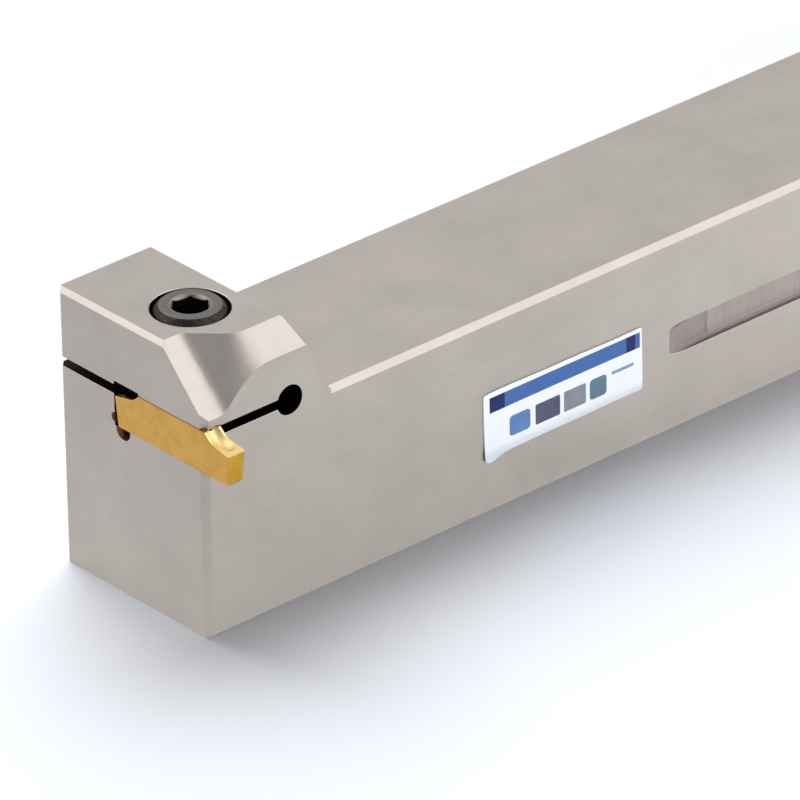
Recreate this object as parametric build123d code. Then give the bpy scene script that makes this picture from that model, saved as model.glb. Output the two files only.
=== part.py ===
"""Perpendicular grooving tool holder with a slit clamping head and a double-ended insert.

One steel bar carries everything. Its head stands above the shank and is slit at the height of
the cutting edge, so the part above the slit is a springy jaw. A cap screw pulls the jaw down on
the insert, which lies across the end of the bar.

Frame: the seat of the shank is Z = 0, the bar runs along X with its head at -X, and the insert
cuts on the -Y side. The origin is the middle of the seat. All sizes are in millimetres.
"""

from build123d import *
import os
from math import atan2, cos, radians, sin, sqrt, tan

# Shank
shank_width = 25.0
shank_height = 25.0
overall_length = 150.0
shank_top_chamfer = 0.7
shank_bottom_chamfer = 0.5
shank_end_chamfer = 1.0

# Head: "from_end" is measured from the end face, "from_side" from the cutting side
head_height = 35.0
head_length = 13.9
head_back_angle = 22.0
head_back_radius = 0.8
head_corner_chamfer = 0.8
head_rim_chamfer = 0.55
head_deburr = 0.2

# Slit of the clamping jaw, with the relief hole it ends in
slit_width = 1.2
slit_above_shank = 0.2
relief_hole_diameter = 3.7
relief_hole_from_end = 12.6

# Chip scoop on the cutting side of the jaw: outlines on the head top and at the jaw's nose
scoop_nose_from_side = 7.1
scoop_nose_lip = 1.0
scoop_nose_width = 3.0
scoop_shoulder_from_end = 7.4
scoop_shoulder_from_side = 2.75
scoop_shoulder_drop = 3.2
scoop_valley_radius = 2.2
scoop_shoulder_top_radius = 3.0
scoop_shoulder_foot_radius = 12.5
scoop_fillet_wall_share = 0.95

# Insert: double-ended, keel below, groove for the jaw above
insert_length = 19.5
insert_width = 2.5
insert_overhang = 4.3
insert_side_proud = 0.12
insert_side_relief = 0.08
insert_side_clearance = 2.0
insert_flank_length = 4.6
insert_corner_radius = 0.3
insert_side_depth = 3.65
insert_land_rise = 1.5
chip_pocket_length = 4.15
insert_end_clearance = 4.5
insert_heel_radius = 1.3
keel_depth = 0.7
keel_flat = 0.8
jaw_groove_depth = 0.35
jaw_groove_width = 1.3
chip_ramp_length = 1.0
chip_ramp_foot_rise = 0.6
chip_ramp_foot_radius = 1.5
chip_ramp_top_radius = 0.3
edge_land = 0.12
chip_hollow_length_radius = 3.0
chip_hollow_width_radius = 1.1
chip_hollow_depth = 0.1
chip_hollow_from_edge = 1.9

# Pocket of the insert
seat_clearance = 0.02
pocket_wall_gap = 0.1
stop_gap = 0.15
heel_hole_diameter = 2.4
heel_hole_from_back = 1.3
heel_hole_below_seat = 0.35
stop_hole_diameter = 1.3
stop_hole_from_back = -0.05
stop_hole_above_seat = 0.85
notch_rise = 0.35
notch_radius = 0.3

# Clamping screw, M5 with a cap head
screw_diameter = 5.0
screw_length = 16.0
screw_head_diameter = 8.5
screw_head_height = 5.0
screw_head_chamfer = 0.7
screw_head_proud = 0.4
screw_tip_chamfer = 0.7
screw_neck_radius = 0.3
hex_size = 4.0
hex_depth = 2.5
hex_lead = 0.25
hex_turn = -11.0
screw_from_end = 7.7
screw_from_side = 10.9
thread_clearance = 0.05
jaw_hole_diameter = 5.8
counterbore_diameter = 9.1
counterbore_chamfer = 0.15
thread_runout = 2.2
drill_point_angle = 118.0

# Milled marking recess and the sticker beside it, both on the cutting side
recess_from_end = 70.1
recess_length = 38.0
recess_height = 11.75
recess_width = 3.9
recess_depth = 0.8
recess_corner_radius = 0.6
recess_cutter_radius = 26.5
sticker_from_end = 41.35
sticker_length = 24.4
sticker_width = 8.2
sticker_height = 11.35
sticker_thickness = 0.12
sticker_corner_radius = 0.4

# Places that follow from the sizes above
end_x = -overall_length / 2
side_y = -shank_width / 2
slit_bottom = shank_height + slit_above_shank
slit_top = slit_bottom + slit_width
edge_height = shank_height
seat_edge_height = edge_height - insert_side_depth
insert_land_length = insert_length - 2 * chip_pocket_length
land_height = edge_height + insert_land_rise
nose_height = land_height + scoop_nose_lip
insert_x = end_x - insert_side_proud + insert_width / 2
insert_front_y = side_y - insert_overhang
insert_back_y = insert_front_y + insert_length
insert_y = (insert_front_y + insert_back_y) / 2
pocket_wall_x = end_x - insert_side_proud + insert_width + pocket_wall_gap
pocket_end_y = insert_back_y + stop_gap
screw_x = end_x + screw_from_end
screw_y = side_y + screw_from_side
counterbore_floor = head_height + screw_head_proud - screw_head_height
thread_end = counterbore_floor - screw_length - thread_runout
over = 1.0


def prism_x(points, x_from, x_to):
    """Outline of (y, z) points pushed along X."""
    outline = Plane.YZ.offset(x_from) * make_face(Polyline(*points, close=True))
    return extrude(outline, x_to - x_from)


def prism_y(points, y_from, y_to):
    """Outline of (x, z) points pushed along Y."""
    outline = Plane.XZ.offset(-y_from) * make_face(Polyline(*points, close=True))
    return extrude(outline, -(y_to - y_from))


def block(x_range, y_range, z_range):
    """Box between two values along each axis."""
    size = [b - a for a, b in (x_range, y_range, z_range)]
    middle = [(a + b) / 2 for a, b in (x_range, y_range, z_range)]
    return Pos(*middle) * Box(*size)


def make_shank():
    """Square bar with chamfered long edges and a chamfered rear end."""
    half = shank_width / 2
    low = shank_bottom_chamfer
    high = shank_top_chamfer
    section = [
        (-half + low, 0),
        (half - low, 0),
        (half, low),
        (half, shank_height - high),
        (half - high, shank_height),
        (-half + high, shank_height),
        (-half, shank_height - high),
        (-half, low),
    ]
    bar = prism_x(section, end_x, end_x + overall_length)
    blank = block((end_x, end_x + overall_length), (-half, half), (0, shank_height))
    rear_edges = blank.faces().sort_by(Axis.X)[-1].edges()
    return bar & chamfer(rear_edges, shank_end_chamfer)


def make_head():
    """Raised head over the front of the bar, with a leaning back that runs out in a radius."""
    rise = head_height - shank_height
    foot = head_length + rise * tan(radians(head_back_angle))
    root = foot + head_back_radius * tan(radians(90 - head_back_angle) / 2) + head_deburr
    lowest = shank_height - 2 * shank_top_chamfer
    outline = [
        (end_x, lowest),
        (end_x + root, lowest),
        (end_x + root, shank_height),
        (end_x + foot, shank_height),
        (end_x + head_length, head_height),
        (end_x, head_height),
    ]
    half = shank_width / 2
    head = prism_y(outline, -half, half)
    across = head.edges().filter_by(Axis.Y)
    root_edge = across.sort_by_distance((end_x + foot, 0, shank_height))[0]
    return fillet(root_edge, head_back_radius)


def chamfer_head(body):
    """Chamfers of the end face and the deburred rim of the head top."""
    end_face = body.faces().sort_by(Axis.X)[0]
    body = chamfer(end_face.edges().filter_by(Axis.Z), head_corner_chamfer)
    end_face = body.faces().sort_by(Axis.X)[0]
    body = chamfer(end_face.edges().sort_by(Axis.Z)[-1], head_rim_chamfer)
    top_face = body.faces().sort_by(Axis.Z)[-1]
    back_edge = top_face.edges().filter_by(Axis.Y).sort_by(Axis.X)[-1]
    far_edge = top_face.edges().filter_by(Axis.X).sort_by(Axis.Y)[-1]
    return chamfer([back_edge, far_edge], head_deburr)


def make_slit():
    """Saw cut under the jaw and the round hole that ends it."""
    hole_x = end_x + relief_hole_from_end
    hole_z = (slit_bottom + slit_top) / 2
    half = shank_width / 2 + over
    cut = block((end_x - over, hole_x), (-half, half), (slit_bottom, slit_top))
    hole = Pos(hole_x, 0, hole_z) * Rot(90, 0, 0) * Cylinder(relief_hole_diameter / 2, 2 * half)
    return cut + hole


def wall_fillet(radius, wall, turn):
    """Fillet radius at a corner of that turn, limited by the wall that it runs into."""
    return min(radius, scoop_fillet_wall_share * wall / tan(turn / 2))


def scoop_outline(height, shoulder_radius):
    """Plan of the scoop at one height: nose, valley, diagonal and shoulder, open to the side."""
    nose_lean = scoop_nose_from_side / (head_height - nose_height)
    shoulder_lean = scoop_shoulder_from_side / scoop_shoulder_drop
    drop = head_height - height
    nose_y = side_y + scoop_nose_from_side - drop * nose_lean
    shoulder_y = side_y + scoop_shoulder_from_side - drop * shoulder_lean
    valley_x = end_x + scoop_nose_width
    shoulder_x = end_x + scoop_shoulder_from_end
    turn = abs(atan2(nose_y - shoulder_y, shoulder_x - valley_x))
    diagonal = (shoulder_x - valley_x) / cos(turn)
    valley_radius = wall_fillet(scoop_valley_radius, diagonal, turn)
    shoulder_wall = diagonal - valley_radius * tan(turn / 2)
    shoulder_radius = wall_fillet(shoulder_radius, shoulder_wall, turn)
    open_y = side_y - shank_width
    back_x = end_x + head_length + head_height - shank_height
    face = make_face(
        Polyline(
            (end_x - over, nose_y),
            (valley_x, nose_y),
            (shoulder_x, shoulder_y),
            (back_x, shoulder_y),
            (back_x, open_y),
            (end_x - over, open_y),
            close=True,
        )
    )
    valley = face.vertices().sort_by_distance((valley_x, nose_y, 0))[0]
    face = fillet(valley, valley_radius)
    shoulder = face.vertices().sort_by_distance((shoulder_x, shoulder_y, 0))[0]
    face = fillet(shoulder, shoulder_radius)
    return Pos(0, 0, height) * face


def make_scoop():
    """Chip scoop: the outline leans towards the cutting side and rounds off as it goes down."""
    top = scoop_outline(head_height + over, scoop_shoulder_top_radius)
    foot = scoop_outline(nose_height - over, scoop_shoulder_foot_radius)
    return loft([top, foot], ruled=True)


def seat_section(clearance, half_width, top):
    """Keel section of the insert (clearance 0) or of its pocket, as (x, z) points."""
    slope = keel_depth / (insert_width / 2 - keel_flat / 2)
    grow = clearance * sqrt(1 + slope * slope)
    outer_z = seat_edge_height - grow + slope * (half_width - insert_width / 2)
    keel_z = seat_edge_height - keel_depth - grow
    return [
        (insert_x - half_width, outer_z),
        (insert_x - keel_flat / 2, keel_z),
        (insert_x + keel_flat / 2, keel_z),
        (insert_x + half_width, outer_z),
        (insert_x + half_width, top),
        (insert_x - half_width, top),
    ]


def jaw_ridge():
    """Ridge under the jaw that runs in the insert's top groove."""
    half = jaw_groove_width / 2 - seat_clearance
    root = land_height + seat_clearance
    tip = land_height - jaw_groove_depth + 2 * seat_clearance
    ridge = [(insert_x - half, root), (insert_x, tip), (insert_x + half, root), (insert_x, root + over)]
    return prism_y(ridge, side_y, insert_y + insert_land_length / 2)


def make_heel_relief():
    """Two cross holes that clear the rear end of the insert: under its heel and in the stop wall."""
    depth = pocket_wall_x - end_x + over
    holes = [
        (heel_hole_diameter, heel_hole_from_back, -heel_hole_below_seat),
        (stop_hole_diameter, stop_hole_from_back, stop_hole_above_seat),
    ]
    relief = []
    for diameter, from_back, rise in holes:
        hole = Pos(insert_back_y - from_back, seat_edge_height + rise) * Circle(diameter / 2)
        relief.append(extrude(Plane.YZ.offset(end_x - over) * hole, depth))
    return relief[0] + relief[1]


def make_pocket():
    """Room for the insert: keel seat, rear stop, heel relief and the notch over its rear edge."""
    roof = land_height + seat_clearance
    half_width = pocket_wall_x - insert_x
    section = seat_section(seat_clearance, half_width, roof)
    pocket = prism_y(section, side_y - over, pocket_end_y)
    outside = block((end_x - over, insert_x), (side_y - over, pocket_end_y), (seat_edge_height, roof))
    heel = make_heel_relief()
    notch_front = insert_y + insert_land_length / 2
    notch = block(
        (end_x - over, pocket_wall_x),
        (notch_front, pocket_end_y),
        (slit_bottom, roof + notch_rise),
    )
    rounded = notch.edges().filter_by(Axis.X).sort_by(Axis.Z)[-2:]
    notch = fillet(rounded, notch_radius)
    return pocket + outside + heel + notch - jaw_ridge()


def make_screw_holes():
    """Counterbore, clearance hole through the jaw and tapped hole below the slit."""
    bore_depth = head_height - counterbore_floor
    bore = Pos(0, 0, head_height) * make_counterbore(bore_depth)
    passage = Pos(0, 0, slit_bottom) * Cylinder(
        jaw_hole_diameter / 2, head_height - slit_bottom, align=(Align.CENTER, Align.CENTER, Align.MIN)
    )
    radius = screw_diameter / 2 + thread_clearance
    thread_height = slit_bottom + slit_width / 2 - thread_end
    thread = Pos(0, 0, thread_end) * Cylinder(
        radius, thread_height, align=(Align.CENTER, Align.CENTER, Align.MIN)
    )
    point_height = radius / tan(radians(drill_point_angle / 2))
    point = Pos(0, 0, thread_end) * Cone(
        0, radius, point_height, align=(Align.CENTER, Align.CENTER, Align.MAX)
    )
    return Pos(screw_x, screw_y, 0) * (bore + passage + thread + point)


def make_counterbore(depth):
    """Counterbore with a broken rim, its mouth at Z = 0."""
    radius = counterbore_diameter / 2
    bore = Cylinder(radius, depth, align=(Align.CENTER, Align.CENTER, Align.MAX))
    rim = Cone(radius, radius + counterbore_chamfer, counterbore_chamfer,
               align=(Align.CENTER, Align.CENTER, Align.MAX))
    lid = Cylinder(radius + counterbore_chamfer, over, align=(Align.CENTER, Align.CENTER, Align.MIN))
    return bore + rim + lid


def make_recess():
    """Shallow groove left by a disc cutter with rounded corners, which runs in and out on a radius."""
    half = recess_width / 2
    run_in = sqrt(recess_cutter_radius**2 - (recess_cutter_radius - recess_depth) ** 2)
    start = end_x + recess_from_end + run_in
    stop = end_x + recess_from_end + recess_length - run_in
    floor_y = side_y + recess_depth
    mouth_y = side_y - over
    outline = Polyline(
        (floor_y, recess_height - half),
        (floor_y, recess_height + half),
        (mouth_y, recess_height + half),
        (mouth_y, recess_height - half),
        close=True,
    )
    section = make_face(outline)
    section = fillet(section.vertices().group_by(Axis.X)[-1], recess_corner_radius)
    groove = extrude(Plane.YZ.offset(start) * section, stop - start)
    cutter_axis = Axis((0, floor_y - recess_cutter_radius, 0), (0, 0, 1))
    cutter = revolve(Plane.YZ * section, cutter_axis)
    for x in (start, stop):
        groove += Pos(x, 0, 0) * cutter
    return groove


def make_holder_body():
    """The whole bar: shank, head and jaw in one piece of steel."""
    body = chamfer_head(make_shank() + make_head())
    body -= make_slit()
    body -= make_scoop()
    body -= make_pocket()
    body -= make_screw_holes()
    body -= make_recess()
    return body


def make_screw():
    """Cap screw: chamfered head, hexagon socket with a lead, neck radius and pointed tip."""
    head = Cylinder(
        screw_head_diameter / 2, screw_head_height, align=(Align.CENTER, Align.CENTER, Align.MIN)
    )
    head = chamfer(head.edges().sort_by(Axis.Z)[-1], screw_head_chamfer)
    stem = Cylinder(screw_diameter / 2, screw_length, align=(Align.CENTER, Align.CENTER, Align.MAX))
    stem = chamfer(stem.edges().sort_by(Axis.Z)[0], screw_tip_chamfer)
    screw = head + stem
    neck = screw.edges().filter_by(GeomType.CIRCLE).filter_by_position(Axis.Z, -0.01, 0.01)
    screw = fillet(neck.sort_by(SortBy.RADIUS)[0], screw_neck_radius)
    hexagon = RegularPolygon(hex_size / 2, 6, major_radius=False, rotation=hex_turn)
    socket = extrude(Pos(0, 0, screw_head_height - hex_depth) * hexagon, hex_depth + over)
    cone_radius = hex_size / 2
    lead_radius = hex_size / sqrt(3)
    drill = Pos(0, 0, screw_head_height - hex_depth) * Cone(
        0,
        cone_radius,
        cone_radius / tan(radians(drill_point_angle / 2)),
        align=(Align.CENTER, Align.CENTER, Align.MAX),
    )
    lead = Pos(0, 0, screw_head_height - hex_lead) * Cone(
        lead_radius - hex_lead,
        lead_radius + hex_lead,
        2 * hex_lead,
        align=(Align.CENTER, Align.CENTER, Align.MIN),
    )
    screw -= socket + drill + lead
    return Pos(screw_x, screw_y, counterbore_floor + seat_clearance) * screw


def insert_side_view():
    """Insert seen from the side, open at its ends: land, two chip ramps and the keel line."""
    half = insert_length / 2
    land = insert_land_length / 2
    ramp = land + chip_ramp_length
    keel_z = -insert_side_depth - keel_depth
    right = [
        (land, insert_land_rise),
        (ramp, chip_ramp_foot_rise),
        (half - edge_land, 0),
        (half + over, 0),
        (half + over, keel_z),
    ]
    left = [(-y, z) for y, z in reversed(right)]
    face = make_face(Polyline(*right, *left, close=True))
    for side in (-1, 1):
        ramp_foot = face.vertices().sort_by_distance((side * ramp, chip_ramp_foot_rise, 0))[0]
        face = fillet(ramp_foot, chip_ramp_foot_radius)
        ramp_top = face.vertices().sort_by_distance((side * land, insert_land_rise, 0))[0]
        face = fillet(ramp_top, chip_ramp_top_radius)
    return face


def insert_plan(drop):
    """Insert seen from above, at a depth below the cutting edge: it shrinks as it goes down."""
    half = insert_length / 2 - drop * tan(radians(insert_end_clearance))
    wide = insert_width / 2 - drop * tan(radians(insert_side_clearance))
    waist = insert_width / 2 - insert_side_relief
    flank_start = insert_length / 2 - insert_flank_length
    face = make_face(
        Polyline(
            (wide, half),
            (waist, flank_start),
            (waist, -flank_start),
            (wide, -half),
            (-wide, -half),
            (-waist, -flank_start),
            (-waist, flank_start),
            (-wide, half),
            close=True,
        )
    )
    corners = face.vertices().group_by(Axis.Y)
    return Pos(0, 0, -drop) * fillet(corners[0] + corners[-1], insert_corner_radius)


def make_heel_cut(side):
    """What rounds the lower corner of one end: the corner's square less a cylinder."""
    radius = insert_heel_radius
    lean = radians(insert_end_clearance)
    middle_z = -insert_side_depth - keel_depth + radius
    middle_y = insert_length / 2 + (middle_z * sin(lean) - radius) / cos(lean)
    reach = radius + over
    square = Polyline(
        (middle_y, middle_z),
        (middle_y + reach * cos(lean), middle_z - reach * sin(lean)),
        (middle_y + reach, middle_z - reach),
        (middle_y, middle_z - reach),
        close=True,
    )
    outline = make_face(square) - Pos(middle_y, middle_z) * Circle(radius)
    cut = extrude(Plane.YZ * outline, insert_width, both=True)
    return cut if side > 0 else cut.mirror(Plane.XZ)


def make_insert():
    """Ground insert: plan and keel section cut to the side view, then groove and chip hollows."""
    keel_z = -insert_side_depth - keel_depth
    body = loft([insert_plan(-keel_z), insert_plan(0)], ruled=True)
    body += extrude(insert_plan(0), insert_land_rise)
    section = Pos(-insert_x, 0, -edge_height) * prism_y(
        seat_section(0, insert_width / 2, land_height), -insert_length, insert_length
    )
    insert = body & section & extrude(Plane.YZ * insert_side_view(), insert_width, both=True)
    half = jaw_groove_width / 2
    groove = [
        (-half, insert_land_rise),
        (0, insert_land_rise - jaw_groove_depth),
        (half, insert_land_rise),
        (0, insert_land_rise + over),
    ]
    insert -= prism_y(groove, -insert_length, insert_length)
    hollow_ring_radius = chip_hollow_length_radius - chip_hollow_width_radius
    hollow = Rot(0, 90, 0) * Torus(hollow_ring_radius, chip_hollow_width_radius)
    hollow_z = chip_hollow_length_radius - chip_hollow_depth
    for side in (-1, 1):
        hollow_y = side * (insert_length / 2 - chip_hollow_from_edge)
        insert -= Pos(0, hollow_y, hollow_z) * hollow
        insert -= make_heel_cut(side)
    return Pos(insert_x, insert_y, edge_height) * insert


def make_sticker():
    """Thin film stuck to the side of the shank."""
    outline = RectangleRounded(sticker_length, sticker_width, sticker_corner_radius)
    film = extrude(outline, sticker_thickness)
    x = end_x + sticker_from_end + sticker_length / 2
    return Pos(x, side_y, sticker_height) * Rot(90, 0, 0) * film


def main():
    os.makedirs("parts", exist_ok=True)
    pieces = {
        "holder_body": make_holder_body(),
        "clamp_screw": make_screw(),
        "cutting_insert": make_insert(),
        "label_sticker": make_sticker(),
    }
    for name, piece in pieces.items():
        export_step(piece, f"parts/{name}.step")


main()
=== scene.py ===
"""Looks of the turning tool holder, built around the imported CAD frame.

Lengths are in metres. A size that describes a detail of the part is written in millimetres times MM.
"""

import math

import bmesh
import bpy
from mathutils import Matrix, Vector


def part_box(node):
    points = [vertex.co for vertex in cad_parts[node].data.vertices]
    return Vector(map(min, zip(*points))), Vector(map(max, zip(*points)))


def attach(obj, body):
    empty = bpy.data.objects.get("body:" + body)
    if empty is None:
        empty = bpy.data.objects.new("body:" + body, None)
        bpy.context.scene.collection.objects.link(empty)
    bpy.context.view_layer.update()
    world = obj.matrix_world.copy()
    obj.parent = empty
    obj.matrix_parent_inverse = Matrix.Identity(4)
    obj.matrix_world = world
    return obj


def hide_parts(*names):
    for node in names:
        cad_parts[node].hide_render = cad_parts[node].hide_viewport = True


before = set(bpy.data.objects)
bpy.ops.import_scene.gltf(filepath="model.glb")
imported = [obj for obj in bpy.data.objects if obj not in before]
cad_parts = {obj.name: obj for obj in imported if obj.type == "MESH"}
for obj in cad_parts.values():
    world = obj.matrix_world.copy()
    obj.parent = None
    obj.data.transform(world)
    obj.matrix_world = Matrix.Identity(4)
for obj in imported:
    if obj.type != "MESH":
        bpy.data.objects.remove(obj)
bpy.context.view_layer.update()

MM = 0.001

# Camera, in the part's frame: turn about Z, tilt down, roll, focal length and the head's corner as seen
CAMERA_TURN = math.radians(41.213)
CAMERA_TILT = math.radians(28.795)
CAMERA_ROLL = math.radians(-0.93)
CAMERA_FOCAL = 444.77 * MM
SENSOR_WIDTH = 36 * MM
CORNER_RIGHT, CORNER_UP, CORNER_AHEAD = -0.021273, -0.02674, 1.10147

# Places on the part, read from the frame
HOLDER_LOW, HOLDER_HIGH = (Vector(c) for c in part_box("holder_body"))
SCREW_LOW, SCREW_HIGH = (Vector(c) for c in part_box("clamp_screw"))
INSERT_LOW, INSERT_HIGH = (Vector(c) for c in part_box("cutting_insert"))
STICKER_LOW, STICKER_HIGH = (Vector(c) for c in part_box("label_sticker"))
END_X = HOLDER_LOW.x
SIDE_Y = HOLDER_LOW.y
BACK_Y = HOLDER_HIGH.y
HEAD_TOP = HOLDER_HIGH.z
SCREW_X = (SCREW_LOW.x + SCREW_HIGH.x) / 2
SCREW_Y = (SCREW_LOW.y + SCREW_HIGH.y) / 2

# Inner faces of the holder painted near black as shade in the slit and the holes, and the chamfer of
# the head's corner, which is left out of that painted shade and stays bright
SHANK_TOP = 25 * MM
SLIT_LOW, SLIT_HIGH = SHANK_TOP + 0.2 * MM, SHANK_TOP + 1.4 * MM
RELIEF_HOLE_X = END_X + 12.6 * MM
RELIEF_HOLE_Z = (SLIT_LOW + SLIT_HIGH) / 2
RELIEF_HOLE_RADIUS = 1.85 * MM
COUNTERBORE_RADIUS = 4.55 * MM
BORE_LOW = SCREW_LOW.z - 4 * MM
CORNER_CHAMFER = 0.8 * MM
# A mask reaches this far past the faces that it covers, and its soft border is as wide
SKIN = 0.06 * MM
# Cross holes behind the insert's heel, as y, z and radius, whose walls are painted brown as a
# reflection of the gold insert in shade
HEEL_HOLES = [(1.4 * MM, 21.0 * MM, 1.2 * MM), (2.75 * MM, 22.2 * MM, 0.65 * MM)]
# Pocket of the insert: its wall, rear end and foot, and the notch over the insert's rear end
POCKET_WALL_X = INSERT_HIGH.x + 0.1 * MM
POCKET_END_Y = INSERT_HIGH.y + 0.25 * MM
POCKET_LOW_Z = INSERT_LOW.z - 0.1 * MM
NOTCH_TOP = 26.95 * MM
NOTCH_FROM_Y, NOTCH_FULL_Y = INSERT_HIGH.y - 3.5 * MM, INSERT_HIGH.y - 2.5 * MM

# Marking recess on the cutting side
RECESS_LOW_X, RECESS_HIGH_X = END_X + 70.1 * MM, END_X + 108.1 * MM
RECESS_RUN_IN = 6.46 * MM
RECESS_LOW_Z, RECESS_HIGH_Z = 9.8 * MM, 13.7 * MM
RECESS_DEPTH = 0.8 * MM
# Half width of a darker line of painted shade where the run-in meets the floor
RECESS_SHADE_LINE = 0.25 * MM

# Cap screw, M5: sizes that its solid doesn't hold or that the box doesn't tell
SCREW_DIAMETER = 5.0 * MM
SCREW_HEAD_HEIGHT = 5.0 * MM
HEAD_CHAMFER = 0.7 * MM
SCREW_TIP_CHAMFER = 0.7 * MM
SCREW_NECK = 0.3 * MM
THREAD_PITCH = 0.8 * MM
THREAD_DEPTH = 0.44 * MM
THREAD_FREE = 0.8 * MM
THREAD_ROW = 0.05 * MM
THREAD_CREST, THREAD_FLANK = 0.12, 0.72
HEX_SIZE = 4.0 * MM
HEX_DEPTH = 2.5 * MM
HEX_TURN = math.radians(-11.0)
CONE_SLOPE = 0.6
EDGE_BREAK = 0.05 * MM
SCREW_COLUMNS = 72
# Height over which the head's top is faced and painted lighter as a sheen, and where the socket's lead,
# painted as a highlight, begins and is full
FACED_SHEEN_FROM, FACED_SHEEN_FULL = SCREW_HIGH.z - 0.06 * MM, SCREW_HIGH.z - 0.03 * MM
LEAD_FROM, LEAD_FULL = SCREW_HIGH.z - 0.45 * MM, SCREW_HIGH.z - 0.25 * MM

# Insert: how far a wall near it shades it, and the painted shadow line under the jaw
SHADE_REACH = 3.2 * MM
SEAM_SHADOW_FROM, SEAM_SHADOW_FULL = INSERT_HIGH.z - 0.10 * MM, INSERT_HIGH.z - 0.04 * MM

# Film: grid of the sheet, gap to the steel, corner radius, how its edges wander, its waves and its
# loose corner
FILM_GRID = (72, 28)
FILM_GAP = 0.004 * MM
FILM_CORNER = 0.4 * MM
FILM_WANDER = 0.07 * MM
FILM_WAVE = 0.03 * MM
FILM_LOOSE = 1.7 * MM
FILM_LOOSE_X = 0.7 * MM
FILM_DROOP = 0.5 * MM
FILM_LIFT = 0.22 * MM

# Studio that only metal mirrors: base light, then soft panels as direction, outer and inner radius in
# degrees, strength
STUDIO_BASE = 0.44
STUDIO_PANELS = [
    ((0.60, -0.53, 0.60), 50, 14, 1.38),
    ((0.0, 0.50, 0.87), 45, 15, 0.50),
    ((0.62, 0.66, 0.42), 45, 10, 0.34),
    ((-0.48, 0.66, 0.58), 42, 12, 1.25),
]
# Soft lamps that only matt surfaces see: name, azimuth, height and radius in degrees, strength
SOFT_LAMPS = [
    ("key", 60, 53, 30, 3.65),
    ("left", 180, 60, 30, 0.55),
    ("front", 250, 5, 5, 2.00),
]

# Steel: two shades of its clouds, then grinding lines, rub marks, specks, worn edges with a painted
# highlight, then painted shade in the recess, the pocket, the slit and holes, and a brown painted
# reflection of the gold in the heel holes
STEEL_CLOUDS = (0.465, 0.425, 0.392), (0.530, 0.485, 0.447)
STEEL_GRAIN = (0.64, 0.595, 0.555)
STEEL_STREAK = (0.34, 0.31, 0.285)
STEEL_SPECK = (0.30, 0.27, 0.24)
STEEL_EDGE_WEAR_AND_HIGHLIGHT = (0.72, 0.69, 0.65)
STEEL_RECESS_SHADE = (0.24, 0.205, 0.195)
STEEL_POCKET_SHADE = (0.10, 0.088, 0.078), (0.19, 0.17, 0.155)
STEEL_SHADE_BLACK = (0.006, 0.005, 0.005)
STEEL_HEEL_REFLECTION = (0.075, 0.031, 0.011), (0.215, 0.102, 0.038)

# Gold coating: sides and their grinding lines, ends, painted highlight on upward faces, painted shadow
# line under the jaw, worn edges with a painted highlight, and painted deep shade
GOLD_SIDES = (0.640, 0.345, 0.066), (0.720, 0.440, 0.112)
GOLD_LINES = (0.82, 0.54, 0.18)
GOLD_ENDS = (0.56, 0.315, 0.030), (0.68, 0.410, 0.055)
GOLD_TOP_HIGHLIGHT = (0.92, 0.70, 0.30), (0.99, 0.82, 0.42)
GOLD_SEAM_SHADOW = (0.20, 0.075, 0.020)
GOLD_EDGE_WEAR_AND_HIGHLIGHT = (0.95, 0.78, 0.42)
GOLD_SHADE = (0.010, 0.007, 0.005)

# Screw: oxide, faced ring with a painted sheen, lead of the socket painted as a highlight, turning
# marks, and worn edges with a painted highlight
SCREW_OXIDE = (0.018, 0.017, 0.017), (0.034, 0.032, 0.031)
SCREW_FACED_AND_SHEEN = (0.150, 0.136, 0.127), (0.205, 0.188, 0.176)
SCREW_LEAD_HIGHLIGHT = (0.30, 0.275, 0.255)
SCREW_TURNED = (0.36, 0.33, 0.31)
SCREW_EDGE_WEAR_AND_HIGHLIGHT = (0.34, 0.31, 0.29)

# Film: paper, and its tint towards the lower edge, whose heights are in millimetres
PAPER = (0.88, 0.92, 0.965), (0.94, 0.965, 0.99)
PAPER_LOW = (0.70, 0.76, 0.84)
PAPER_LOW_FROM, PAPER_LOW_TO = 7.2, 8.6
# Print on the film in millimetres from the end face and up: box, corner radius, two shades of ink
STRIPE_BLUE = (0.045, 0.122, 0.36), (0.066, 0.162, 0.44)
DEEP_BLUE = (0.004, 0.012, 0.085), (0.009, 0.024, 0.14)
PRINTED_BLOCKS = [
    ((42.2, 65.4, 12.9, 14.85), 0.05, *STRIPE_BLUE),
    ((42.2, 44.5, 12.9, 14.85), 0.05, *DEEP_BLUE),
    ((63.3, 64.7, 12.9, 14.85), 0.05, *DEEP_BLUE),
    ((45.2, 48.4, 8.8, 11.4), 0.5, (0.080, 0.175, 0.42), (0.15, 0.28, 0.56)),
    ((49.2, 53.0, 8.8, 11.4), 0.2, (0.055, 0.057, 0.115), (0.125, 0.130, 0.22)),
    ((53.6, 57.0, 8.8, 11.4), 0.2, (0.18, 0.195, 0.25), (0.31, 0.33, 0.39)),
    ((57.6, 60.2, 8.8, 11.4), 0.5, (0.075, 0.15, 0.22), (0.15, 0.25, 0.33)),
    ((61.0, 64.4, 10.9, 11.3), 0.1, (0.18, 0.29, 0.43), (0.26, 0.38, 0.52)),
]
PRINT_SOFTNESS = 0.08

# Floor: paper near the part, and how far from the part it turns white
FLOOR_HALF = 3.0
FLOOR_TONE = (0.88, 0.91, 0.97)
FLOOR_WHITE_FROM, FLOOR_WHITE_TO = 32 * MM, 60 * MM
# What shiny faces see of the floor: share of its glow, its strength at the left, then two rises as
# from, to, amount
GLOSS_FLOOR_SHARE = 0.75
GLOSS_FLOOR_LEFT = 0.78
GLOSS_FLOOR_RISES = [(-105 * MM, -65 * MM, 0.20), (-60 * MM, 90 * MM, 0.27)]


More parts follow.
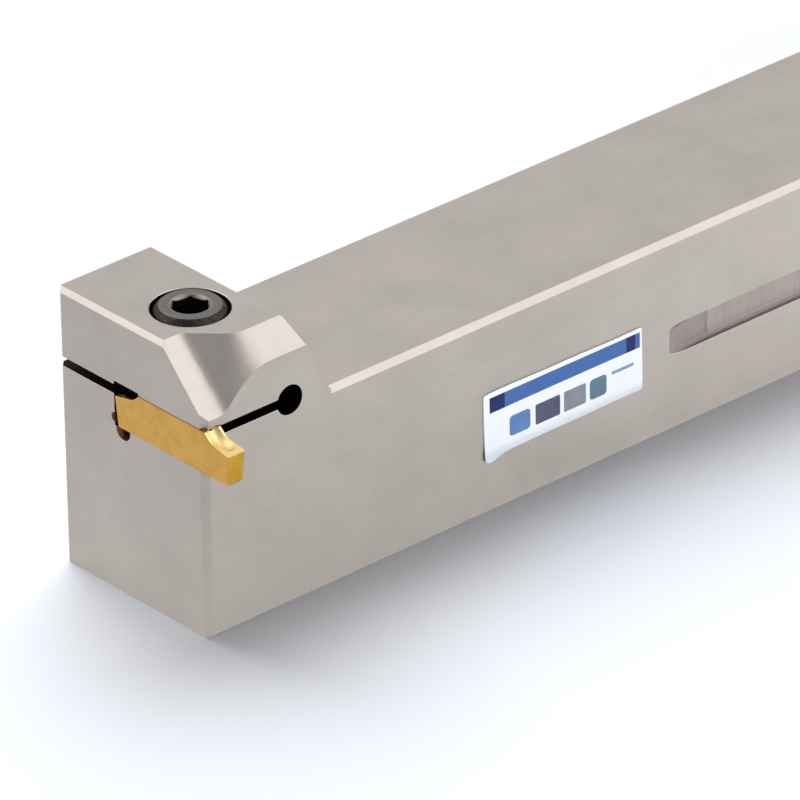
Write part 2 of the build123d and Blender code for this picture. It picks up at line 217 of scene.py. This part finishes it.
class Nodes:
    """Short calls for building a node tree."""

    def __init__(self, tree):
        self.tree = tree

    def add(self, kind, **settings):
        """New node with some of its settings."""
        node = self.tree.nodes.new(kind)
        for name, value in settings.items():
            setattr(node, name, value)
        return node

    def put(self, socket, value):
        """Link an output to a socket, or set the socket's own value."""
        if isinstance(value, bpy.types.NodeSocket):
            self.tree.links.new(value, socket)
        elif isinstance(value, (tuple, list)) and len(value) == 3 and socket.type == "RGBA":
            socket.default_value = (*value, 1)
        else:
            socket.default_value = value

    def math(self, operation, *values, clamp=False):
        node = self.add("ShaderNodeMath", operation=operation, use_clamp=clamp)
        for socket, value in zip(node.inputs, values):
            self.put(socket, value)
        return node.outputs[0]

    def vector(self, operation, *values):
        node = self.add("ShaderNodeVectorMath", operation=operation)
        for socket, value in zip(node.inputs, values):
            self.put(socket, value)
        return node.outputs["Value" if operation in ("DOT_PRODUCT", "LENGTH") else "Vector"]

    def step(self, value, low, high):
        """Smooth step from 0 at low to 1 at high."""
        node = self.add("ShaderNodeMapRange", interpolation_type="SMOOTHSTEP")
        for socket, part in zip(node.inputs, (value, low, high, 0.0, 1.0)):
            self.put(socket, part)
        return node.outputs[0]

    def between(self, value, low, high, soft):
        """1 between low and high, 0 outside, with soft borders."""
        rise = self.step(value, low - soft / 2, low + soft / 2)
        fall = self.step(value, high - soft / 2, high + soft / 2)
        return self.math("SUBTRACT", rise, fall, clamp=True)

    def blend(self, factor, first, second):
        """Colour from first (factor 0) to second (factor 1)."""
        node = self.add("ShaderNodeMix", data_type="RGBA")
        self.put(node.inputs["Factor"], factor)
        self.put(node.inputs[6], first)
        self.put(node.inputs[7], second)
        return node.outputs[2]

    def number(self, factor, first, second):
        """Number from first (factor 0) to second (factor 1)."""
        node = self.add("ShaderNodeMix", data_type="FLOAT")
        self.put(node.inputs["Factor"], factor)
        self.put(node.inputs[2], first)
        self.put(node.inputs[3], second)
        return node.outputs[0]

    def either(self, *masks):
        """The largest of some masks."""
        total = masks[0]
        for mask in masks[1:]:
            total = self.math("MAXIMUM", total, mask)
        return total

    def both(self, *masks):
        """The product of some masks."""
        total = masks[0]
        for mask in masks[1:]:
            total = self.math("MULTIPLY", total, mask)
        return total

    def length(self, first, second):
        """Length of a step that goes some way along two axes."""
        square = self.math("ADD", self.both(first, first), self.both(second, second))
        return self.math("SQRT", square)

    def noise(self, where, scale, detail=2.0, rough=0.5, distort=0.0):
        node = self.add("ShaderNodeTexNoise")
        self.put(node.inputs["Vector"], where)
        self.put(node.inputs["Scale"], scale)
        self.put(node.inputs["Detail"], detail)
        self.put(node.inputs["Roughness"], rough)
        self.put(node.inputs["Distortion"], distort)
        return node.outputs["Fac"]

    def stretch(self, where, factors):
        """Point scaled along each axis, which draws noise out across the larger factors."""
        return self.vector("MULTIPLY", where, factors)

    def object_point(self):
        return self.add("ShaderNodeTexCoord").outputs["Object"]

    def split(self, vector):
        node = self.add("ShaderNodeSeparateXYZ")
        self.put(node.inputs[0], vector)
        return node.outputs[0], node.outputs[1], node.outputs[2]

    def rounded_box(self, along, up, box, radius, soft):
        """1 inside a rectangle (x from, x to, z from, z to) with round corners."""
        x_from, x_to, z_from, z_to = box
        over = []
        for value, low, high in ((along, x_from, x_to), (up, z_from, z_to)):
            off = self.math("ABSOLUTE", self.math("SUBTRACT", value, (low + high) / 2))
            past = self.math("SUBTRACT", off, (high - low) / 2 - radius)
            over.append(self.math("MAXIMUM", past, 0.0))
        distance = self.length(*over)
        return self.math("SUBTRACT", 1.0, self.step(distance, radius - soft / 2, radius + soft / 2))

    def turned(self, x, y, z):
        """Radius, turn and height about the screw's axis, for marks that run round it."""
        off_x = self.math("SUBTRACT", x, SCREW_X)
        off_y = self.math("SUBTRACT", y, SCREW_Y)
        radius = self.length(off_x, off_y)
        node = self.add("ShaderNodeCombineXYZ")
        for socket, value in zip(node.inputs, (radius, self.math("ARCTAN2", off_y, off_x), z)):
            self.put(socket, value)
        return node.outputs[0]

    def bump(self, height, strength, distance, normal=None):
        node = self.add("ShaderNodeBump")
        self.put(node.inputs["Strength"], strength)
        self.put(node.inputs["Distance"], distance)
        self.put(node.inputs["Height"], height)
        if normal is not None:
            self.put(node.inputs["Normal"], normal)
        return node.outputs["Normal"]

    def edge(self, radius, samples=6):
        """Normal rounded at the edges, and how far it leaves the face's own normal there."""
        bevel = self.add("ShaderNodeBevel", samples=samples)
        self.put(bevel.inputs["Radius"], radius)
        face = self.add("ShaderNodeNewGeometry").outputs["Normal"]
        away = self.math("SUBTRACT", 1.0, self.vector("DOT_PRODUCT", bevel.outputs[0], face))
        return bevel.outputs[0], away


def new_material(name):
    """Material with its node helper and its surface shader."""
    material = bpy.data.materials.new(name)
    material.use_nodes = True
    nodes = Nodes(material.node_tree)
    return material, nodes, material.node_tree.nodes["Principled BSDF"]


def ground_grain(n, point, normal):
    """Fine parallel grinding lines, along X on the bar and along Y on the end faces."""
    along_x = n.noise(n.stretch(point, (70, 4200, 4200)), 1.0, 4.0, 0.6)
    along_y = n.noise(n.stretch(point, (4200, 70, 4200)), 1.0, 4.0, 0.6)
    normal_x = n.math("ABSOLUTE", n.split(normal)[0])
    return n.number(n.step(normal_x, 0.6, 0.8), along_x, along_y)


def round_hole(n, first, second, middle, radius):
    """1 within a radius of an axis, given the two coordinates across it."""
    off_first = n.math("SUBTRACT", first, middle[0])
    off_second = n.math("SUBTRACT", second, middle[1])
    return n.math("LESS_THAN", n.length(off_first, off_second), radius)


def recess_shade(n, point, normal):
    """Painted shade in the milled recess: some on the floor, more on the run-in and on a line where the
    run-in meets the floor, most on the lip.
    """
    x, y, z = n.split(point)
    middle = (RECESS_LOW_X + RECESS_HIGH_X) / 2
    half = (RECESS_HIGH_X - RECESS_LOW_X) / 2
    from_middle = n.math("ABSOLUTE", n.math("SUBTRACT", x, middle))
    inside = n.both(
        n.step(y, SIDE_Y + 0.01 * MM, SIDE_Y + 0.03 * MM),
        n.math("LESS_THAN", y, SIDE_Y + RECESS_DEPTH + SKIN),
        n.between(z, RECESS_LOW_Z - SKIN, RECESS_HIGH_Z + SKIN, SKIN),
        n.math("LESS_THAN", from_middle, half + SKIN),
    )
    edge = half - RECESS_RUN_IN
    run_in = n.step(from_middle, edge - 0.2 * MM, edge + 0.2 * MM)
    shade_line_middle = edge - 0.1 * MM
    shade_line = n.between(from_middle, shade_line_middle - RECESS_SHADE_LINE, shade_line_middle + RECESS_SHADE_LINE,
                          0.3 * MM)
    marks = n.noise(n.stretch(point, (2600, 200, 200)), 1.0, 3.0, 0.6)
    shade_depth = n.number(run_in, 0.33, 0.53)
    shade_depth = n.number(shade_line, shade_depth, 0.70)
    shade_depth = n.math("ADD", shade_depth, n.math("MULTIPLY", n.math("SUBTRACT", marks, 0.5), 0.35))
    lip = n.step(n.math("ABSOLUTE", n.split(normal)[2]), 0.12, 0.5)
    return n.both(n.number(lip, shade_depth, 0.95), inside)


def holder_insides(n, x, y, z):
    """Masks of the holder's inner faces: the insert's pocket, for painted shade, the slit and the
    holes, painted near black as shade, and the cross holes behind the insert, painted brown as a
    reflection of the gold.
    """
    inside = n.both(
        n.step(y, SIDE_Y + SKIN / 2, SIDE_Y + SKIN),
        n.step(x, END_X + SKIN / 2, END_X + SKIN),
        n.math("LESS_THAN", y, BACK_Y - SKIN),
        n.math("GREATER_THAN", n.math("ADD", x, y), END_X + SIDE_Y + CORNER_CHAMFER + SKIN),
    )
    before_hole = n.math("LESS_THAN", x, RELIEF_HOLE_X)
    slit = n.both(n.between(z, SLIT_LOW - SKIN, SLIT_HIGH + SKIN, SKIN), before_hole)
    relief = round_hole(n, x, z, (RELIEF_HOLE_X, RELIEF_HOLE_Z), RELIEF_HOLE_RADIUS + SKIN)
    bore = n.both(
        round_hole(n, x, y, (SCREW_X, SCREW_Y), COUNTERBORE_RADIUS + SKIN),
        n.between(z, BORE_LOW, HEAD_TOP - SKIN, SKIN),
    )
    before_wall = n.math("LESS_THAN", x, POCKET_WALL_X + SKIN)
    pocket = n.both(
        before_wall,
        n.math("LESS_THAN", y, POCKET_END_Y),
        n.between(z, POCKET_LOW_Z, NOTCH_TOP, SKIN),
    )
    notch = n.both(
        pocket,
        n.step(z, SLIT_LOW - SKIN, SLIT_LOW),
        n.step(y, NOTCH_FROM_Y, NOTCH_FULL_Y),
    )
    painted_heel_mask = n.either(*(round_hole(n, y, z, (hole_y, hole_z), radius + SKIN)
                      for hole_y, hole_z, radius in HEEL_HOLES))
    shade_black = n.both(n.either(slit, relief, bore, notch), inside)
    return n.both(pocket, inside), shade_black, n.both(painted_heel_mask, inside, before_wall)


def steel_material():
    """Satin nickel-plated steel, ground on its flats, with painted shade: near black in the slit and
    the holes, darker in the pocket and the recess.
    """
    material, n, shader = new_material("satin_steel")
    point = n.object_point()
    x, y, z = n.split(point)
    normal = n.add("ShaderNodeTexCoord").outputs["Normal"]

    grain = ground_grain(n, point, normal)
    # Rub marks along the bar, faint clouds of the plating and fine specks
    streak = n.noise(n.stretch(point, (16, 1100, 1100)), 1.0, 3.0, 0.6)
    cloud = n.noise(point, 120.0, 4.0, 0.6)
    speck = n.noise(point, 5200.0, 2.0, 0.6)
    tone = n.blend(n.step(cloud, 0.25, 0.75), *STEEL_CLOUDS)
    tone = n.blend(n.math("MULTIPLY", grain, 0.22), tone, STEEL_GRAIN)
    tone = n.blend(n.math("MULTIPLY", n.step(streak, 0.52, 0.75), 0.12), tone, STEEL_STREAK)
    tone = n.blend(n.math("MULTIPLY", n.step(speck, 0.66, 0.80), 0.12), tone, STEEL_SPECK)

    rounded, away = n.edge(0.09 * MM)
    # Worn edges, lighter as wear and as a painted highlight
    worn_and_highlight = n.math("MULTIPLY", n.step(away, 0.02, 0.16), 0.45)
    tone = n.blend(worn_and_highlight, tone, STEEL_EDGE_WEAR_AND_HIGHLIGHT)
    # Painted shade in the recess
    recess = recess_shade(n, point, normal)
    tone = n.blend(recess, tone, STEEL_RECESS_SHADE)
    pocket, shade_black, painted_heel_mask = holder_insides(n, x, y, z)
    # Painted shade: the pocket darker
    tone = n.blend(pocket, tone, n.blend(cloud, *STEEL_POCKET_SHADE))
    # Painted shade: near black in the slit, the notch and the holes
    tone = n.blend(shade_black, tone, STEEL_SHADE_BLACK)
    # Brown painted reflection of the gold insert in the heel holes, in shade
    heel_reflection_tone = n.blend(n.noise(point, 1800.0, 3.0, 0.6), *STEEL_HEEL_REFLECTION)
    tone = n.blend(painted_heel_mask, tone, heel_reflection_tone)

    rough = n.number(grain, 0.34, 0.44)
    rough = n.math("ADD", rough, n.math("MULTIPLY", n.math("SUBTRACT", cloud, 0.5), 0.08))
    rough = n.number(worn_and_highlight, rough, 0.24)
    rough = n.number(recess, rough, 0.55)
    rough = n.number(n.either(shade_black, painted_heel_mask), rough, 0.55)
    n.put(shader.inputs["Base Color"], tone)
    n.put(shader.inputs["Metallic"], n.math("SUBTRACT", 1.0, painted_heel_mask))
    n.put(shader.inputs["Roughness"], rough)
    n.put(shader.inputs["Normal"], n.bump(grain, 0.14, 0.02 * MM, rounded))
    return material


def gold_material():
    """Titanium nitride over sintered carbide, with ground side faces, upward faces painted pale as a
    highlight and painted shade near walls.
    """
    material, n, shader = new_material("gold_coating")
    point = n.object_point()
    height = n.split(point)[2]
    normal = n.split(n.add("ShaderNodeTexCoord").outputs["Normal"])
    cloud = n.step(n.noise(point, 620.0, 4.0, 0.62), 0.30, 0.70)
    grit = n.noise(point, 16000.0, 3.0, 0.6)
    lines = n.noise(n.stretch(point, (5200, 150, 5200)), 1.0, 4.0, 0.65)
    tone = n.blend(cloud, *GOLD_SIDES)
    tone = n.blend(n.math("MULTIPLY", n.step(lines, 0.45, 0.75), 0.35), tone, GOLD_LINES)
    ends = n.step(n.math("ABSOLUTE", normal[1]), 0.80, 0.95)
    tone = n.blend(ends, tone, n.blend(cloud, *GOLD_ENDS))
    # Upward faces painted pale as a highlight
    upward_highlight = n.step(normal[2], 0.25, 0.60)
    tone = n.blend(upward_highlight, tone, n.blend(grit, *GOLD_TOP_HIGHLIGHT))
    # Painted shadow along the top of the insert, under the jaw
    seam_shadow = n.step(height, SEAM_SHADOW_FROM, SEAM_SHADOW_FULL)
    tone = n.blend(n.math("MULTIPLY", seam_shadow, 0.75), tone, GOLD_SEAM_SHADOW)
    rounded, away = n.edge(0.10 * MM)
    # Worn edges, lighter as wear and as a painted highlight
    worn_and_highlight = n.both(n.step(away, 0.02, 0.2), n.math("SUBTRACT", 1.0, seam_shadow), n.step(grit, 0.35, 0.60))
    tone = n.blend(n.math("MULTIPLY", worn_and_highlight, 0.6), tone, GOLD_EDGE_WEAR_AND_HIGHLIGHT)
    shade = n.add("ShaderNodeAmbientOcclusion", samples=12)
    n.put(shade.inputs["Distance"], SHADE_REACH)
    tone = n.blend(n.step(shade.outputs["AO"], 0.30, 0.58), GOLD_SHADE, tone)
    n.put(shader.inputs["Base Color"], tone)
    n.put(shader.inputs["Metallic"], 1.0)
    rough = n.number(lines, 0.34, 0.50)
    n.put(shader.inputs["Roughness"], n.math("ADD", rough, n.math("MULTIPLY", cloud, 0.05)))
    relief = n.math("ADD", lines, n.math("MULTIPLY", grit, 0.6))
    n.put(shader.inputs["Normal"], n.bump(relief, 0.22, 0.01 * MM, rounded))
    return material


def screw_material():
    """Black-oxide steel with a satin grey ring where the head's top was machined flat, lighter also as
    a painted sheen.
    """
    material, n, shader = new_material("black_oxide")
    point = n.object_point()
    x, y, z = n.split(point)
    cloud = n.noise(point, 900.0, 3.0, 0.6)
    grit = n.noise(point, 9000.0, 2.0, 0.6)
    # Machined top ring, lighter also as a painted sheen
    faced_and_sheen = n.step(z, FACED_SHEEN_FROM, FACED_SHEEN_FULL)
    tone = n.blend(faced_and_sheen, n.blend(cloud, *SCREW_OXIDE), n.blend(cloud, *SCREW_FACED_AND_SHEEN))
    # Lead of the socket painted lighter as a highlight
    lead = n.both(
        round_hole(n, x, y, (SCREW_X, SCREW_Y), HEX_SIZE / math.sqrt(3) + 3 * EDGE_BREAK),
        n.step(z, LEAD_FROM, LEAD_FULL),
    )
    tone = n.blend(n.math("MULTIPLY", lead, 0.8), tone, SCREW_LEAD_HIGHLIGHT)
    turned = n.noise(n.stretch(n.turned(x, y, z), (9000, 14, 9000)), 1.0, 3.0, 0.6)
    tone = n.blend(n.math("MULTIPLY", n.step(turned, 0.45, 0.8), 0.25), tone, SCREW_TURNED)
    rounded, away = n.edge(0.08 * MM)
    # Worn edges, lighter as wear and as a painted highlight
    worn_and_highlight = n.both(n.step(away, 0.03, 0.25), n.step(cloud, 0.35, 0.65))
    tone = n.blend(n.math("MULTIPLY", worn_and_highlight, 0.45), tone, SCREW_EDGE_WEAR_AND_HIGHLIGHT)
    n.put(shader.inputs["Base Color"], tone)
    n.put(shader.inputs["Metallic"], 1.0)
    n.put(shader.inputs["Roughness"], n.number(grit, 0.34, 0.50))
    n.put(shader.inputs["Normal"], n.bump(grit, 0.15, 0.01 * MM, rounded))
    return material


def film_material():
    """White vinyl film with a blue stripe and a plain row of printed blocks."""
    material, n, shader = new_material("printed_film")
    point = n.object_point()
    x, _, z = n.split(point)
    along = n.math("MULTIPLY", n.math("SUBTRACT", x, END_X), 1 / MM)
    up = n.math("MULTIPLY", z, 1 / MM)
    ink = n.noise(point, 700.0, 3.0, 0.6)
    tone = n.blend(n.noise(point, 260.0), *PAPER)
    low = n.math("SUBTRACT", 1.0, n.step(up, PAPER_LOW_FROM, PAPER_LOW_TO))
    tone = n.blend(low, tone, PAPER_LOW)
    for box, radius, light, deep in PRINTED_BLOCKS:
        shape = n.rounded_box(along, up, box, radius, PRINT_SOFTNESS)
        tone = n.blend(shape, tone, n.blend(ink, light, deep))
    n.put(shader.inputs["Base Color"], tone)
    n.put(shader.inputs["Roughness"], n.number(ink, 0.30, 0.42))
    n.put(shader.inputs["Specular IOR Level"], 0.22)
    n.put(shader.inputs["Coat Weight"], 0.06)
    n.put(shader.inputs["Coat Roughness"], 0.15)
    wrinkle = n.noise(n.stretch(point, (240, 240, 420)), 1.0, 2.0, 0.5)
    n.put(shader.inputs["Normal"], n.bump(wrinkle, 0.25, 0.05 * MM))
    return material


def floor_material():
    """Pale paper that turns white away from the part, and a glow that shiny faces see in it."""
    material, n, shader = new_material("floor_paper")
    n.put(shader.inputs["Base Color"], FLOOR_TONE)
    n.put(shader.inputs["Roughness"], 0.9)
    n.put(shader.inputs["Specular IOR Level"], 0.2)
    glow = n.add("ShaderNodeEmission")
    x, y, _ = n.split(n.object_point())
    middle_x, half_x = (HOLDER_LOW.x + HOLDER_HIGH.x) / 2, (HOLDER_HIGH.x - HOLDER_LOW.x) / 2
    half_y = (HOLDER_HIGH.y - HOLDER_LOW.y) / 2
    off_x = n.math("ABSOLUTE", n.math("SUBTRACT", x, middle_x))
    off_x = n.math("MAXIMUM", n.math("SUBTRACT", off_x, half_x), 0.0)
    off_y = n.math("MAXIMUM", n.math("SUBTRACT", n.math("ABSOLUTE", y), half_y), 0.0)
    white = n.step(n.length(off_x, off_y), FLOOR_WHITE_FROM, FLOOR_WHITE_TO)
    n.put(glow.inputs["Color"], (1.0, 1.0, 1.0))
    path = n.add("ShaderNodeLightPath")
    by_camera = n.both(path.outputs["Is Camera Ray"], white)
    gloss = n.either(path.outputs["Is Glossy Ray"], path.outputs["Is Transmission Ray"])
    strength = GLOSS_FLOOR_LEFT
    for start, stop, amount in GLOSS_FLOOR_RISES:
        strength = n.math("ADD", strength, n.math("MULTIPLY", n.step(x, start, stop), amount))
    n.put(glow.inputs["Strength"], n.number(gloss, 1.0, strength))
    share = n.either(by_camera, n.math("MULTIPLY", gloss, GLOSS_FLOOR_SHARE))
    mix = n.add("ShaderNodeMixShader")
    n.put(mix.inputs[0], share)
    n.put(mix.inputs[1], shader.outputs[0])
    n.put(mix.inputs[2], glow.outputs[0])
    n.put(material.node_tree.nodes["Material Output"].inputs["Surface"], mix.outputs[0])
    return material


def dress(node, material):
    """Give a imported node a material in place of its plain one."""
    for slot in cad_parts[node].material_slots:
        slot.material = material


def new_piece(name, points, faces, material, sharp_angle):
    """Mesh object in the part's frame, smooth except across edges sharper than an angle."""
    mesh = bpy.data.meshes.new(name)
    mesh.from_pydata(points, [], faces)
    work = bmesh.new()
    work.from_mesh(mesh)
    bmesh.ops.remove_doubles(work, verts=work.verts, dist=1e-7)
    bmesh.ops.recalc_face_normals(work, faces=work.faces)
    work.to_mesh(mesh)
    work.free()
    mesh.polygons.foreach_set("use_smooth", [True] * len(mesh.polygons))
    mesh.set_sharp_from_angle(angle=math.radians(sharp_angle))
    mesh.materials.append(material)
    piece = bpy.data.objects.new(name, mesh)
    bpy.context.scene.collection.objects.link(piece)
    return piece


def thread_radius(angle, z):
    """Outside of the threaded stem: V thread with flat crests, run out at both ends."""
    crest = SCREW_DIAMETER / 2
    turn = (z - SCREW_LOW.z) / THREAD_PITCH - angle / (2 * math.pi)
    height = abs(turn - math.floor(turn) - 0.5) * 2
    cut = min(max((height - THREAD_CREST) / THREAD_FLANK, 0.0), 1.0)
    bearing = SCREW_HIGH.z - SCREW_HEAD_HEIGHT
    fade = min(max((bearing - THREAD_FREE - z) / THREAD_PITCH, 0.0), 1.0)
    radius = crest - THREAD_DEPTH * cut * fade
    point = crest - SCREW_TIP_CHAMFER + (z - SCREW_LOW.z)
    neck = max(z - (bearing - SCREW_NECK), 0.0)
    flare = SCREW_NECK - math.sqrt(max(SCREW_NECK**2 - neck**2, 0.0))
    return min(radius, point) + flare


def hexagon_radius(angle, half_flat):
    """Distance from the axis to the socket's wall."""
    turn = (angle - HEX_TURN) % (math.pi / 3) - math.pi / 6
    return half_flat / math.cos(turn)


def make_screw(material):
    """Cap screw with a real thread, a chamfered head and a hexagon socket with a scalloped lead."""
    top, head = SCREW_HIGH.z, (SCREW_HIGH.x - SCREW_LOW.x) / 2
    bearing = top - SCREW_HEAD_HEIGHT
    corner = HEX_SIZE / math.sqrt(3)
    rows = int(round((bearing - SCREW_LOW.z) / THREAD_ROW))
    soft = EDGE_BREAK

    def profile(angle):
        """(radius, z) from the tip up the stem, over the head and down into the socket.

        Each edge is rounded by a few points, set out in multiples of the edge break.
        """
        line = [(0.0, SCREW_LOW.z)]
        for row in range(rows + 1):
            z = SCREW_LOW.z + (bearing - SCREW_LOW.z) * row / rows
            line.append((thread_radius(angle, z), z))
        line += [(head - 3 * soft, bearing), (head - soft, bearing + 0.6 * soft),
                 (head - 0.3 * soft, bearing + 2 * soft), (head, bearing + 4 * soft)]
        line += [(head, top - HEAD_CHAMFER - soft), (head - 0.3 * soft, top - HEAD_CHAMFER),
                 (head - soft, top - HEAD_CHAMFER + 0.9 * soft)]
        rim = head - HEAD_CHAMFER
        line += [(rim + 0.9 * soft, top - soft), (rim, top - 0.3 * soft), (rim - soft, top)]
        mouth = hexagon_radius(angle, HEX_SIZE / 2)
        line += [(corner + 2 * soft, top), (corner + soft, top - 0.3 * soft)]
        foot = top - (corner - mouth)
        line += [(mouth + soft, foot - soft), (mouth, foot - 2.5 * soft)]
        line += [(mouth, top - HEX_DEPTH)]
        cone = HEX_SIZE / 2 - soft
        line += [(cone, top - HEX_DEPTH), (cone * 0.5, top - HEX_DEPTH - cone * 0.5 * CONE_SLOPE),
                 (0.0, top - HEX_DEPTH - cone * CONE_SLOPE)]
        return line

    points, faces = [], []
    lines = [profile(2 * math.pi * column / SCREW_COLUMNS) for column in range(SCREW_COLUMNS)]
    length = len(lines[0])
    for column, line in enumerate(lines):
        angle = 2 * math.pi * column / SCREW_COLUMNS
        for radius, z in line:
            points.append((SCREW_X + radius * math.cos(angle), SCREW_Y + radius * math.sin(angle), z))
    for column in range(SCREW_COLUMNS):
        here, beside = column * length, (column + 1) % SCREW_COLUMNS * length
        for step in range(length - 1):
            faces.append((here + step, beside + step, beside + step + 1, here + step + 1))
    piece = new_piece("cap_screw", points, faces, material, 32)
    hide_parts("clamp_screw")
    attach(piece, "screw")


def make_film(material):
    """Sticker laid by hand: edges not quite straight, soft waves and one corner that let go."""
    wide, tall = STICKER_HIGH.x - STICKER_LOW.x, STICKER_HIGH.z - STICKER_LOW.z
    columns, rows = FILM_GRID
    points = []

    def place(u, v, front):
        """Point of the sheet from 0..1 across and up, on the outer or the inner skin."""
        x, z = u * wide, v * tall
        # Square grid drawn in to round corners
        corner_x = min(max(x, FILM_CORNER), wide - FILM_CORNER)
        corner_z = min(max(z, FILM_CORNER), tall - FILM_CORNER)
        off_x, off_z = x - corner_x, z - corner_z
        reach = max(abs(off_x), abs(off_z))
        if off_x and off_z:
            size = math.hypot(off_x, off_z)
            x, z = corner_x + off_x / size * reach, corner_z + off_z / size * reach
        # The edges wander in slow sines, the lower edge against the upper one and a little less
        edge_v, edge_u = abs(2 * v - 1) ** 3, abs(2 * u - 1) ** 3
        side = 1 if v > 0.5 else -0.7
        z += side * edge_v * FILM_WANDER * (math.sin(5.1 * u + 0.6) + 0.5 * math.sin(13 * u))
        x += edge_u * FILM_WANDER * 0.6 * math.sin(4.0 * v + 1.0)
        # The lower left corner has let go: it droops and lifts
        slack = math.exp(-((u * wide - FILM_LOOSE_X) ** 2 + (v * tall) ** 2) / FILM_LOOSE**2)
        z -= FILM_DROOP * slack
        lift = FILM_LIFT * slack
        wave = FILM_WAVE * (0.5 + 0.5 * math.sin(6.5 * u + 2.2 * v)) * (1 - edge_v)
        y = SIDE_Y - lift - (STICKER_HIGH.y - STICKER_LOW.y + wave if front else FILM_GAP)
        return STICKER_LOW.x + x, y, STICKER_LOW.z + z

    for front in (True, False):
        for row in range(rows + 1):
            for column in range(columns + 1):
                points.append(place(column / columns, row / rows, front))
    across, layer = columns + 1, (columns + 1) * (rows + 1)
    faces = []
    for row in range(rows):
        for column in range(columns):
            first = row * across + column
            quad = (first, first + 1, first + across + 1, first + across)
            faces.append(quad)
            faces.append(tuple(layer + index for index in reversed(quad)))
    rim = list(range(columns))
    rim += [row * across + columns for row in range(rows)]
    rim += [rows * across + columns - column for column in range(columns)]
    rim += [(rows - row) * across for row in range(rows)]
    for first, second in zip(rim, rim[1:] + rim[:1]):
        faces.append((first, layer + first, layer + second, second))
    piece = new_piece("printed_label", points, faces, material, 40)
    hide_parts("label_sticker")
    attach(piece, "holder")


def make_camera():
    """Camera that looks down at the cutting side and the end face of the head."""
    level_right = Vector((math.cos(CAMERA_TURN), -math.sin(CAMERA_TURN), 0))
    level_ahead = Vector((math.sin(CAMERA_TURN), math.cos(CAMERA_TURN), 0))
    ahead = level_ahead * math.cos(CAMERA_TILT) - Vector((0, 0, math.sin(CAMERA_TILT)))
    level_up = level_ahead * math.sin(CAMERA_TILT) + Vector((0, 0, math.cos(CAMERA_TILT)))
    right = level_right * math.cos(CAMERA_ROLL) + level_up * math.sin(CAMERA_ROLL)
    up = level_up * math.cos(CAMERA_ROLL) - level_right * math.sin(CAMERA_ROLL)
    corner = Vector((END_X, SIDE_Y, HOLDER_LOW.z))
    place = corner - right * CORNER_RIGHT - up * CORNER_UP - ahead * CORNER_AHEAD
    data = bpy.data.cameras.new("camera")
    data.sensor_width = SENSOR_WIDTH / MM
    data.lens = CAMERA_FOCAL / MM
    data.clip_start = 0.01
    data.clip_end = 20
    camera = bpy.data.objects.new("camera", data)
    bpy.context.scene.collection.objects.link(camera)
    camera.matrix_world = Matrix((
        (right.x, up.x, -ahead.x, place.x),
        (right.y, up.y, -ahead.y, place.y),
        (right.z, up.z, -ahead.z, place.z),
        (0, 0, 0, 1),
    ))
    bpy.context.scene.camera = camera


def make_floor(material):
    """Pale floor: a soft shadow around the part, white further out."""
    mesh = bpy.data.meshes.new("floor")
    corners = [(-1, -1), (1, -1), (1, 1), (-1, 1)]
    mesh.from_pydata([(FLOOR_HALF * x, FLOOR_HALF * y, 0) for x, y in corners], [], [(0, 1, 2, 3)])
    mesh.materials.append(material)
    floor = bpy.data.objects.new("floor", mesh)
    bpy.context.scene.collection.objects.link(floor)


def make_world():
    """Studio of soft panels on a dim base, mirrored by the metal and unseen by matt surfaces."""
    world = bpy.data.worlds.new("studio")
    world.use_nodes = True
    n = Nodes(world.node_tree)
    background = world.node_tree.nodes["Background"]
    direction = n.vector("NORMALIZE", n.add("ShaderNodeTexCoord").outputs["Generated"])
    light = STUDIO_BASE
    for towards, outer, inner, amount in STUDIO_PANELS:
        aim = Vector(towards).normalized()
        near = n.step(n.vector("DOT_PRODUCT", direction, tuple(aim)),
                      math.cos(math.radians(outer)), math.cos(math.radians(inner)))
        light = n.math("ADD", light, n.math("MULTIPLY", near, amount))
    seen = n.add("ShaderNodeLightPath").outputs["Is Camera Ray"]
    n.put(background.inputs["Color"], (1.0, 1.0, 1.0))
    n.put(background.inputs["Strength"], n.number(seen, light, 1.0))
    world.cycles_visibility.diffuse = False
    bpy.context.scene.world = world


def make_lamps():
    """Big soft discs of light that make the shadow and light the film, unseen by the metal."""
    for name, azimuth, height, radius, strength in SOFT_LAMPS:
        azimuth, height = math.radians(azimuth), math.radians(height)
        towards = Vector((math.cos(height) * math.cos(azimuth), math.cos(height) * math.sin(azimuth),
                          math.sin(height)))
        data = bpy.data.lights.new(name, "SUN")
        data.energy = strength
        data.angle = math.radians(2 * radius)
        lamp = bpy.data.objects.new(name, data)
        lamp.rotation_euler = towards.to_track_quat("Z", "Y").to_euler()
        lamp.visible_glossy = False
        bpy.context.scene.collection.objects.link(lamp)


dress("holder_body", steel_material())
make_screw(screw_material())
dress("cutting_insert", gold_material())
make_film(film_material())
make_floor(floor_material())
make_world()
make_lamps()
make_camera()
bpy.context.scene.view_settings.view_transform = "Standard"
